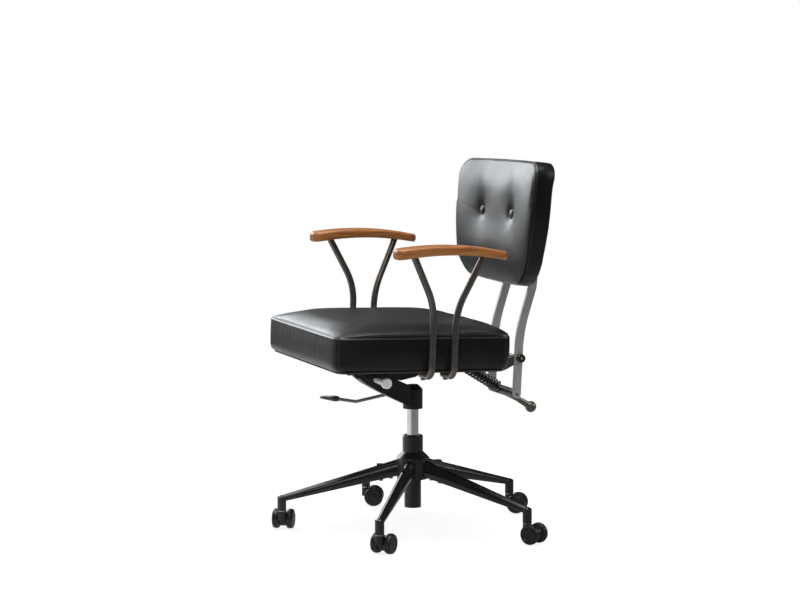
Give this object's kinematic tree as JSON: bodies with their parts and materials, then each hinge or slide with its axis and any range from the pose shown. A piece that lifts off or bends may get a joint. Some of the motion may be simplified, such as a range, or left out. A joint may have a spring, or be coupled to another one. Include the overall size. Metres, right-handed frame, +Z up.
{
  "type": "swivel chair",
  "caption": "Height-adjustable swivel office chair with a crowned leather seat, tufted reclining back, wooden arm rests on bent rods and a five-arm base on twin-wheel casters.",
  "frame": {"origin": "on the floor, on the axis of the gas column", "axes": "+Z up, the sitter faces -Y, +X is the sitter's left"},
  "size_m": [0.6538, 0.6801, 0.8978],
  "materials": {
    "base_metal": "satin black paint",
    "fastener_steel": "zinc plated",
    "bush_plastic": "natural nylon",
    "bearing_steel": "hardened steel",
    "rod_steel": "ground steel",
    "cylinder_chrome": "polished chrome",
    "mechanism_metal": "satin black paint",
    "shaft_steel": "steel with a rubber sleeve",
    "lever_metal": "dark grey enamel",
    "paddle_plastic": "black",
    "knob_chrome": "polished chrome",
    "caster_plastic": "black nylon",
    "caster_steel": "bright steel",
    "wheel_plastic": "black nylon",
    "pan_metal": "dark bronze enamel",
    "board_wood": "plywood",
    "seat_leather": "semi-gloss black",
    "arm_bronze": "dark bronze, satin",
    "arm_wood": "satin varnish",
    "axle_steel": "bright steel",
    "bar_steel": "brushed",
    "plate_black": "black",
    "spring_steel": "black"
  },
  "bodies": {
    "base": {"base_hub": "base_metal", "base_arm_1": "base_metal", "base_arm_2": "base_metal", "base_arm_3": "base_metal", "base_arm_4": "base_metal", "base_arm_5": "base_metal", "arm_bolts": "fastener_steel", "column_tube": "base_metal", "column_guide_bush": "bush_plastic", "thrust_bearing": "bearing_steel"},
    "piston": {"piston_rod": "rod_steel"},
    "lift": {"gas_cylinder": "cylinder_chrome", "mech_casting": "mechanism_metal", "tilt_shaft": "shaft_steel"},
    "valve": {"valve_pin": "fastener_steel"},
    "lever": {"lift_lever": "lever_metal", "lever_paddle": "paddle_plastic"},
    "knob": {"lock_knob": "knob_chrome"},
    "seat": {"seat_saddle": "mechanism_metal", "seat_pan": "pan_metal", "seat_board": "board_wood", "seat_cushion": "seat_leather", "arm_rod_left_front": "arm_bronze", "arm_rod_left_rear": "arm_bronze", "arm_rod_right_front": "arm_bronze", "arm_rod_right_rear": "arm_bronze", "arm_pad_left": "arm_wood", "arm_pad_right": "arm_wood", "arm_screws": "fastener_steel", "back_brackets": "arm_bronze", "pivot_axle": "axle_steel"},
    "back": {"back_bar_left": "bar_steel", "back_bar_right": "bar_steel", "back_plate": "plate_black", "back_cushion": "seat_leather", "back_fasteners": "fastener_steel"},
    "cross_tube": {"trunnion": "bar_steel"},
    "rod_carrier": {"spring_anchor": "mechanism_metal", "tension_spring": "spring_steel"},
    "tension_screw": {"tension_rod": "arm_bronze"},
    "caster_1": {"caster_1_housing": "caster_plastic", "caster_1_pins": "caster_steel"},
    "caster_1_left": {"caster_1_wheel_left": "wheel_plastic"},
    "caster_1_right": {"caster_1_wheel_right": "wheel_plastic"},
    "caster_2": {"caster_2_housing": "caster_plastic", "caster_2_pins": "caster_steel"},
    "caster_2_left": {"caster_2_wheel_left": "wheel_plastic"},
    "caster_2_right": {"caster_2_wheel_right": "wheel_plastic"},
    "caster_3": {"caster_3_housing": "caster_plastic", "caster_3_pins": "caster_steel"},
    "caster_3_left": {"caster_3_wheel_left": "wheel_plastic"},
    "caster_3_right": {"caster_3_wheel_right": "wheel_plastic"},
    "caster_4": {"caster_4_housing": "caster_plastic", "caster_4_pins": "caster_steel"},
    "caster_4_left": {"caster_4_wheel_left": "wheel_plastic"},
    "caster_4_right": {"caster_4_wheel_right": "wheel_plastic"},
    "caster_5": {"caster_5_housing": "caster_plastic", "caster_5_pins": "caster_steel"},
    "caster_5_left": {"caster_5_wheel_left": "wheel_plastic"},
    "caster_5_right": {"caster_5_wheel_right": "wheel_plastic"}
  },
  "joints": [
    {"name": "seat_swivel", "type": "hinge", "parent": "base", "child": "piston", "pos_m": [0, 0, 0.068], "axis": [0, 0, 1], "continuous": true},
    {"name": "gas_lift", "type": "slide", "parent": "piston", "child": "lift", "axis": [0, 0, 1], "range_m": [-0.055, 0.035]},
    {"name": "valve_press", "type": "slide", "parent": "lift", "child": "valve", "axis": [0, 0, 1], "range_m": [-0.0038, 0]},
    {"name": "lever_pull", "type": "hinge", "parent": "lift", "child": "lever", "pos_m": [-0.02495, -0.02416, 0.33592], "axis": [-0.6956, 0.7184, 0], "range_deg": [0, 6], "stiffness_Nm_per_rad": 1, "springref_deg": -8.59},
    {"name": "lock_pull", "type": "slide", "parent": "lift", "child": "knob", "axis": [1, 0, 0], "range_m": [0, 0.012]},
    {"name": "seat_tilt", "type": "hinge", "parent": "lift", "child": "seat", "pos_m": [0, -0.15, 0.396], "axis": [-1, 0, 0], "range_deg": [0, 10], "stiffness_Nm_per_rad": 220, "springref_deg": -12.61},
    {"name": "back_recline", "type": "hinge", "parent": "seat", "child": "back", "pos_m": [0, 0.2503, 0.417], "axis": [-1, 0, 0], "range_deg": [0, 15], "stiffness_Nm_per_rad": 80, "springref_deg": -6.88, "deforming": ["tension_spring"]},
    {"name": "rod_carrier_turn", "type": "hinge", "parent": "seat", "child": "rod_carrier", "pos_m": [0, 0.119, 0.404], "axis": [-1, 0, 0], "range_deg": [0, 3.66]},
    {"name": "cross_tube_turn", "type": "hinge", "parent": "back", "child": "cross_tube", "pos_m": [0, 0.2435, 0.3275], "axis": [1, 0, 0], "range_deg": [0, 11.36]},
    {"name": "tension_turn", "type": "hinge", "parent": "rod_carrier", "child": "tension_screw", "pos_m": [0, 0.119, 0.404], "axis": [0, 0.852, -0.5235], "continuous": true},
    {"name": "caster_1_swivel", "type": "hinge", "parent": "base", "child": "caster_1", "pos_m": [-0.32, 0, 0.05], "axis": [0, 0, 1], "continuous": true},
    {"name": "caster_1_left_roll", "type": "hinge", "parent": "caster_1", "child": "caster_1_left", "pos_m": [-0.31112, 0.01903, 0.0242], "axis": [-0.9063, 0.4226, 0], "continuous": true},
    {"name": "caster_1_right_roll", "type": "hinge", "parent": "caster_1", "child": "caster_1_right", "pos_m": [-0.31112, 0.01903, 0.0242], "axis": [-0.9063, 0.4226, 0], "continuous": true},
    {"name": "caster_2_swivel", "type": "hinge", "parent": "base", "child": "caster_2", "pos_m": [-0.09889, -0.30434, 0.05], "axis": [0, 0, 1], "continuous": true},
    {"name": "caster_2_left_roll", "type": "hinge", "parent": "caster_2", "child": "caster_2_left", "pos_m": [-0.11707, -0.29384, 0.0242], "axis": [-0.5, -0.866, 0], "continuous": true},
    {"name": "caster_2_right_roll", "type": "hinge", "parent": "caster_2", "child": "caster_2_right", "pos_m": [-0.11707, -0.29384, 0.0242], "axis": [-0.5, -0.866, 0], "continuous": true},
    {"name": "caster_3_swivel", "type": "hinge", "parent": "base", "child": "caster_3", "pos_m": [0.25888, -0.18809, 0.05], "axis": [0, 0, 1], "continuous": true},
    {"name": "caster_3_left_roll", "type": "hinge", "parent": "caster_3", "child": "caster_3_left", "pos_m": [0.24511, -0.17224, 0.0242], "axis": [-0.7547, -0.6561, 0], "continuous": true},
    {"name": "caster_3_right_roll", "type": "hinge", "parent": "caster_3", "child": "caster_3_right", "pos_m": [0.24511, -0.17224, 0.0242], "axis": [-0.7547, -0.6561, 0], "continuous": true},
    {"name": "caster_4_swivel", "type": "hinge", "parent": "base", "child": "caster_4", "pos_m": [0.25888, 0.18809, 0.05], "axis": [0, 0, 1], "continuous": true},
    {"name": "caster_4_left_roll", "type": "hinge", "parent": "caster_4", "child": "caster_4_left", "pos_m": [0.2776, 0.19762, 0.0242], "axis": [-0.454, 0.891, 0], "continuous": true},
    {"name": "caster_4_right_roll", "type": "hinge", "parent": "caster_4", "child": "caster_4_right", "pos_m": [0.2776, 0.19762, 0.0242], "axis": [-0.454, 0.891, 0], "continuous": true},
    {"name": "caster_5_swivel", "type": "hinge", "parent": "base", "child": "caster_5", "pos_m": [-0.09889, 0.30434, 0.05], "axis": [0, 0, 1], "continuous": true},
    {"name": "caster_5_left_roll", "type": "hinge", "parent": "caster_5", "child": "caster_5_left", "pos_m": [-0.08654, 0.32133, 0.0242], "axis": [-0.809, 0.5878, 0], "continuous": true},
    {"name": "caster_5_right_roll", "type": "hinge", "parent": "caster_5", "child": "caster_5_right", "pos_m": [-0.08654, 0.32133, 0.0242], "axis": [-0.809, 0.5878, 0], "continuous": true}
  ],
  "couplings": [
    {"joint": "valve_press", "follows": "lever_pull", "m_per_rad": -0.034729},
    {"joint": "rod_carrier_turn", "follows": "back_recline", "ratio": 0.24313},
    {"joint": "cross_tube_turn", "follows": "back_recline", "ratio": 0.75687}
  ]
}
